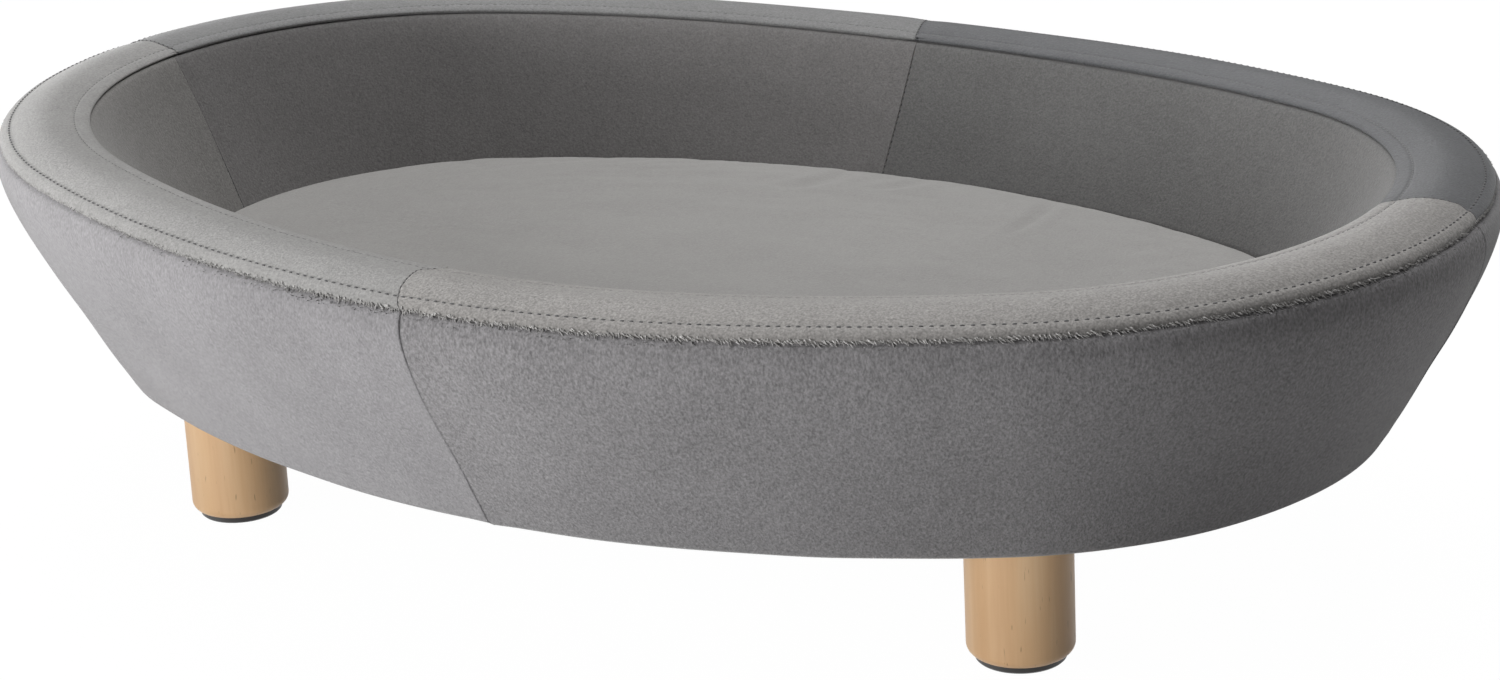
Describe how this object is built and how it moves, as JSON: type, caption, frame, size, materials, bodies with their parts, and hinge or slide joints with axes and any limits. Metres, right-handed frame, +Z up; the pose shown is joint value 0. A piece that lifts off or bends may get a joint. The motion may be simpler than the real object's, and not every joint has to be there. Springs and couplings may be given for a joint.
{
  "type": "dog sofa bed",
  "caption": "Oval padded dog sofa bed in velvet: leaning upholstered wall with a sewn rim, loose lift-out cushion with a zip, short turned wooden legs.",
  "frame": {"origin": "centre of the oval at floor level, under the middle of the cushion", "axes": "+Z up, +X along the long way of the oval, -Y towards the front"},
  "size_m": [0.8, 0.556, 0.197],
  "materials": {
    "velvet": "short-pile velvet with a mottled nap",
    "cushion_velvet": "short-pile velvet, smoother nap",
    "foam": "open-cell foam",
    "plywood": "raw birch plywood",
    "fibreboard": "thin bendable fibreboard",
    "leg_wood": "turned light hardwood, matt clear lacquer",
    "glide_plastic": "dark moulded plastic",
    "zinc_steel": "zinc plated",
    "felt": "needled felt",
    "dust_cloth": "black non-woven cloth",
    "zip_cloth": "woven zip tape",
    "zip_nylon": "moulded nylon",
    "zip_metal": "grey lacquered zinc"
  },
  "bodies": {
    "bed": {"floor_board": "plywood", "top_ring": "plywood", "outer_skin": "fibreboard", "inner_skin": "fibreboard", "outer_padding": "foam", "inner_padding": "foam", "rim_padding": "foam", "deck_cloth": "felt", "dust_cover": "dust_cloth", "staples": "zinc_steel", "leg_nuts": "zinc_steel", "leg_bolts": "zinc_steel", "wall_rib_1": "plywood", "wall_rib_2": "plywood", "wall_rib_3": "plywood", "wall_rib_4": "plywood", "wall_rib_5": "plywood", "wall_rib_6": "plywood", "wall_rib_7": "plywood", "wall_rib_8": "plywood", "wall_rib_9": "plywood", "wall_rib_10": "plywood", "wall_rib_11": "plywood", "wall_rib_12": "plywood", "outer_panel_front_left": "velvet", "outer_panel_front_right": "velvet", "outer_panel_back_left": "velvet", "outer_panel_back_right": "velvet", "rim_panel_front_left": "velvet", "rim_panel_front_right": "velvet", "rim_panel_back_left": "velvet", "rim_panel_back_right": "velvet", "inner_panel_front_left": "velvet", "inner_panel_front_right": "velvet", "inner_panel_back_left": "velvet", "inner_panel_back_right": "velvet", "leg_front_left": "leg_wood", "leg_front_right": "leg_wood", "leg_back_left": "leg_wood", "leg_back_right": "leg_wood", "glide_front_left": "glide_plastic", "glide_front_right": "glide_plastic", "glide_back_left": "glide_plastic", "glide_back_right": "glide_plastic"},
    "cushion": {"cushion_filling": "foam", "cushion_top_panel": "cushion_velvet", "cushion_base_panel": "cushion_velvet", "cushion_band": "cushion_velvet", "zip_tape": "zip_cloth", "zip_chain": "zip_nylon"},
    "zip_slider": {"zip_slider": "zip_metal"}
  },
  "joints": [
    {"name": "cushion_lift", "type": "slide", "parent": "bed", "child": "cushion", "axis": [0, 0, 1], "range_m": [0, 0.15]},
    {"name": "zip_travel", "type": "hinge", "parent": "cushion", "child": "zip_slider", "pos_m": [0, -0.31784, 0.0991], "axis": [0, 0, 1], "range_deg": [-42.81, 0]}
  ]
}
